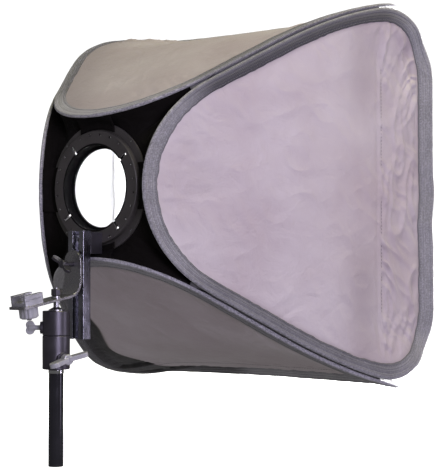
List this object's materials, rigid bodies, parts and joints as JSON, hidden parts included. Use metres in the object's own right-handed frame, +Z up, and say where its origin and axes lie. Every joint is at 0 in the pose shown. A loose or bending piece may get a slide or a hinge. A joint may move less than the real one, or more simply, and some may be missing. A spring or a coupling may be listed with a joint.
{
  "type": "studio softbox",
  "caption": "Collapsible square fabric softbox on a turning speed ring, carried by a slotted rail, an L-bracket with a flash shoe and a stand adapter.",
  "frame": {"origin": "centre of the stand tube's lower end", "axes": "+Z up along the stand tube; +Y to the rear, where the flash sits; the box opens towards -Y; +X completes the right-handed frame"},
  "size_m": [0.528, 0.5273, 0.607],
  "materials": {
    "shell_cloth": "silver-grey coated cloth with a soft sheen",
    "lining_cloth": "silver reflective cloth",
    "binding_tape": "woven grey binding tape",
    "spring_steel": "spring-steel strip",
    "black_cloth": "black woven cloth",
    "ring_metal": "dark grey satin",
    "fastener_steel": "plated steel",
    "diffuser_cloth": "white diffusing cloth",
    "hook_and_loop": "hook-and-loop tape",
    "rail_metal": "drawn aluminium",
    "black_metal": "black satin",
    "bracket_steel": "satin plated steel",
    "grey_paint": "light grey paint",
    "tube_paint": "gloss black",
    "chrome": "polished"
  },
  "bodies": {
    "stand": {"stand_tube": "tube_paint", "stand_collar": "chrome", "stand_spigot": "fastener_steel"},
    "adapter": {"adapter_lower": "black_metal", "adapter_upper": "black_metal", "spigot_stud": "fastener_steel"},
    "lower_screw": {"lower_wing_screw": "grey_paint"},
    "upper_screw": {"upper_lock_screw": "grey_paint"},
    "top_nut": {"thumb_nut": "black_metal"},
    "bracket": {"l_bracket": "bracket_steel", "slider": "rail_metal", "wedge_washers": "fastener_steel"},
    "rail_screw": {"rail_wing_screw": "grey_paint"},
    "shoe": {"cold_shoe": "bracket_steel", "shoe_bolt": "fastener_steel"},
    "shoe_clamp": {"shoe_nut": "grey_paint"},
    "rail": {"rail": "rail_metal", "rail_spacer": "black_metal", "rail_bolt": "fastener_steel", "locating_pins": "fastener_steel", "index_plate": "ring_metal", "drum_rim": "ring_metal", "ring_sleeve": "ring_metal", "snap_ring": "fastener_steel"},
    "softbox": {"flange_ring": "ring_metal", "clamp_ring": "ring_metal", "ring_screws": "fastener_steel", "rear_panel": "black_cloth", "ring_tabs": "black_cloth", "loop_strips": "hook_and_loop", "gusset_top_left": "black_cloth", "gusset_top_right": "black_cloth", "gusset_bottom_right": "black_cloth", "gusset_bottom_left": "black_cloth", "left_shell": "shell_cloth", "left_lining": "lining_cloth", "left_hoop": "spring_steel", "left_binding": "binding_tape", "top_shell": "shell_cloth", "top_lining": "lining_cloth", "top_hoop": "spring_steel", "top_binding": "binding_tape", "right_shell": "shell_cloth", "right_lining": "lining_cloth", "right_hoop": "spring_steel", "right_binding": "binding_tape", "bottom_shell": "shell_cloth", "bottom_lining": "lining_cloth", "bottom_hoop": "spring_steel", "bottom_binding": "binding_tape"},
    "diffuser": {"front_diffuser": "diffuser_cloth", "hook_strips": "hook_and_loop"}
  },
  "joints": [
    {"name": "stand_pan", "type": "hinge", "parent": "stand", "child": "adapter", "pos_m": [0, 0, 0.13], "axis": [0, 0, 1], "continuous": true},
    {"name": "lower_screw_turn", "type": "hinge", "parent": "adapter", "child": "lower_screw", "pos_m": [0, 0, 0.131], "axis": [-0.9536, 0.3011, 0], "range_deg": [0, 360]},
    {"name": "upper_screw_turn", "type": "hinge", "parent": "adapter", "child": "upper_screw", "pos_m": [0, 0, 0.1685], "axis": [0.7779, 0.6283, 0], "range_deg": [0, 360]},
    {"name": "top_nut_turn", "type": "hinge", "parent": "adapter", "child": "top_nut", "pos_m": [0, 0, 0.2115], "axis": [0, 0, 1], "range_deg": [0, 360]},
    {"name": "bracket_swivel", "type": "hinge", "parent": "adapter", "child": "bracket", "pos_m": [0, 0, 0.204], "axis": [0, 0, 1], "range_deg": [-75, 75]},
    {"name": "rail_screw_turn", "type": "hinge", "parent": "bracket", "child": "rail_screw", "pos_m": [0, -0.02, 0.246], "axis": [0, 1, 0], "range_deg": [0, 360]},
    {"name": "shoe_slide", "type": "slide", "parent": "bracket", "child": "shoe", "axis": [0, 0.9857, -0.1685], "range_m": [-0.01, 0.003]},
    {"name": "shoe_nut_turn", "type": "hinge", "parent": "shoe", "child": "shoe_clamp", "pos_m": [0, 0.04702, 0.19596], "axis": [0, 0.1685, 0.9857], "range_deg": [0, 360]},
    {"name": "rail_lift", "type": "slide", "parent": "bracket", "child": "rail", "axis": [0, 0, 1], "range_m": [-0.006, 0.06]},
    {"name": "softbox_turn", "type": "hinge", "parent": "rail", "child": "softbox", "pos_m": [0, -0.066, 0.343], "axis": [0, 1, 0], "continuous": true},
    {"name": "diffuser_pull", "type": "slide", "parent": "softbox", "child": "diffuser", "axis": [0, -1, 0], "range_m": [0, 0.11]}
  ]
}
